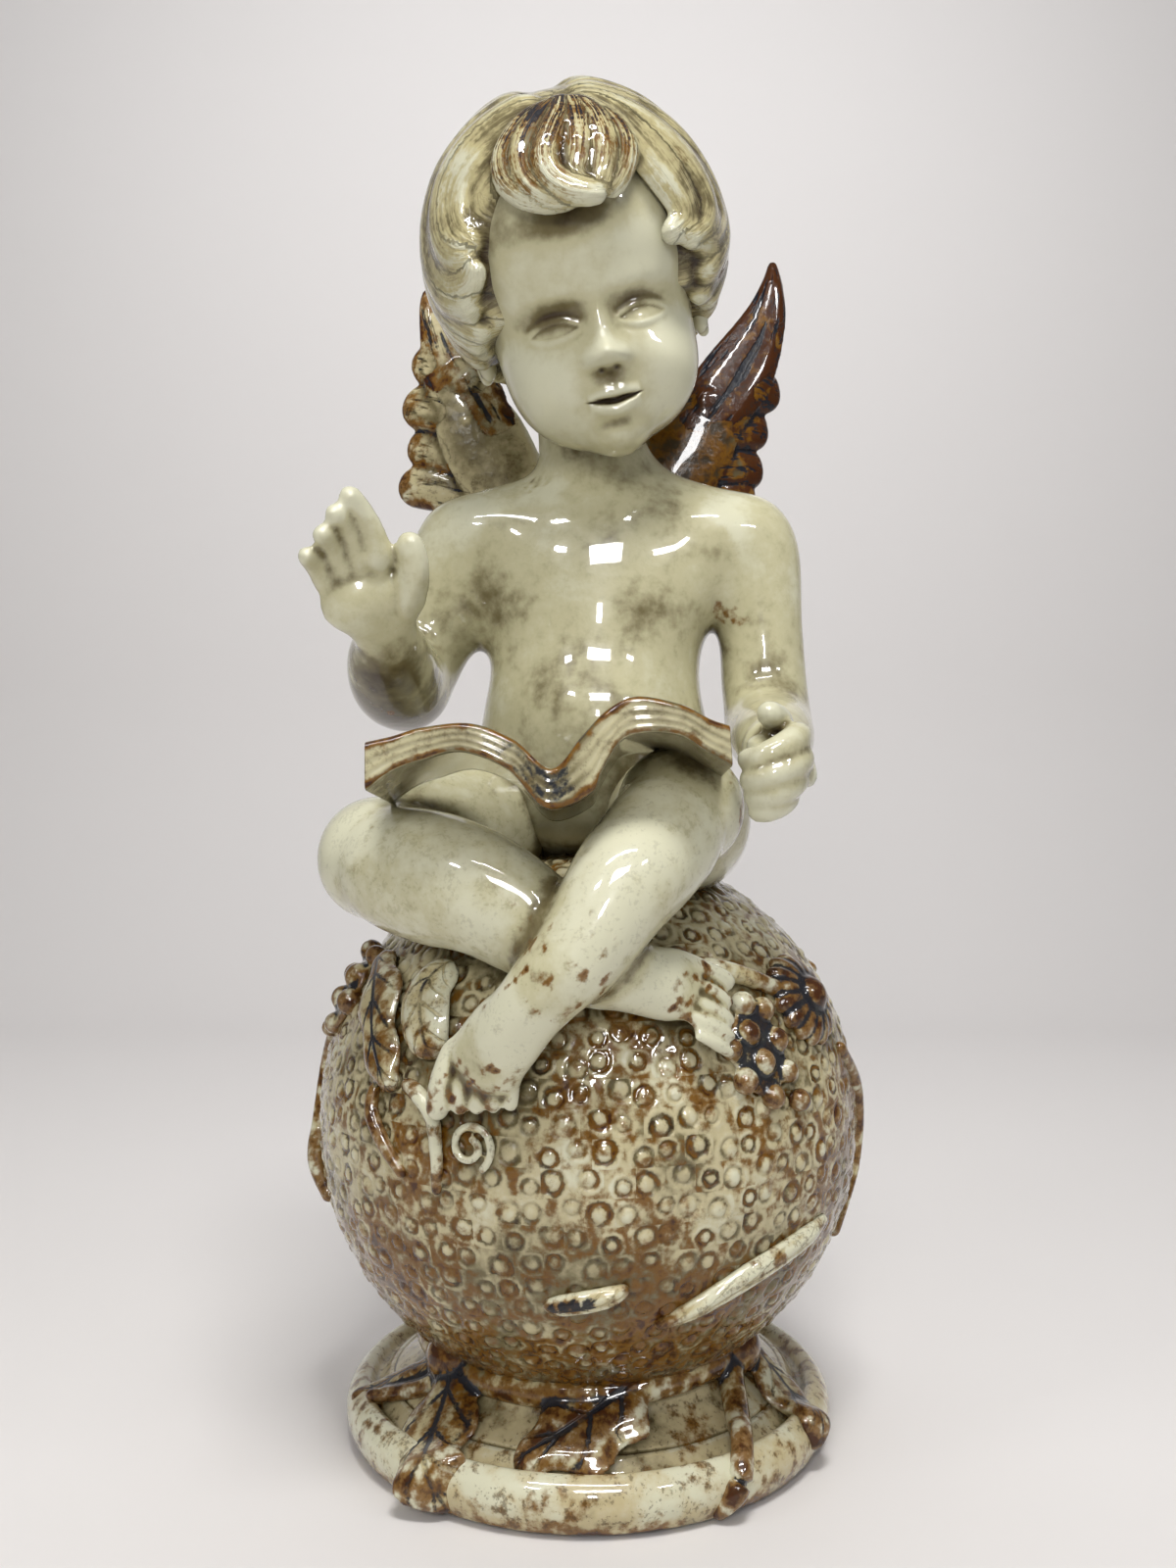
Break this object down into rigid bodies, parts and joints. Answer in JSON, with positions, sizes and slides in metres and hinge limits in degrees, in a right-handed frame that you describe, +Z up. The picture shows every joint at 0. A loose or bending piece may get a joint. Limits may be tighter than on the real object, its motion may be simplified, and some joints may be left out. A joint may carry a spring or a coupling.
{
  "type": "cherub statue",
  "caption": "Winged cherub in glossy cream ceramic, seated cross-legged with an open book on a dimpled orb wound with vines, on a round moulded foot.",
  "frame": {"origin": "centre of the round foot's flat underside, on the table", "axes": "+Z up, the cherub faces -Y, +X is at the right of a viewer who faces the cherub"},
  "size_m": [0.2867, 0.3077, 0.6726],
  "materials": {
    "cream_glaze": "glossy ceramic glaze over fired clay"
  },
  "bodies": {
    "root": {"cherub_statue": "cream_glaze"}
  },
  "joints": []
}
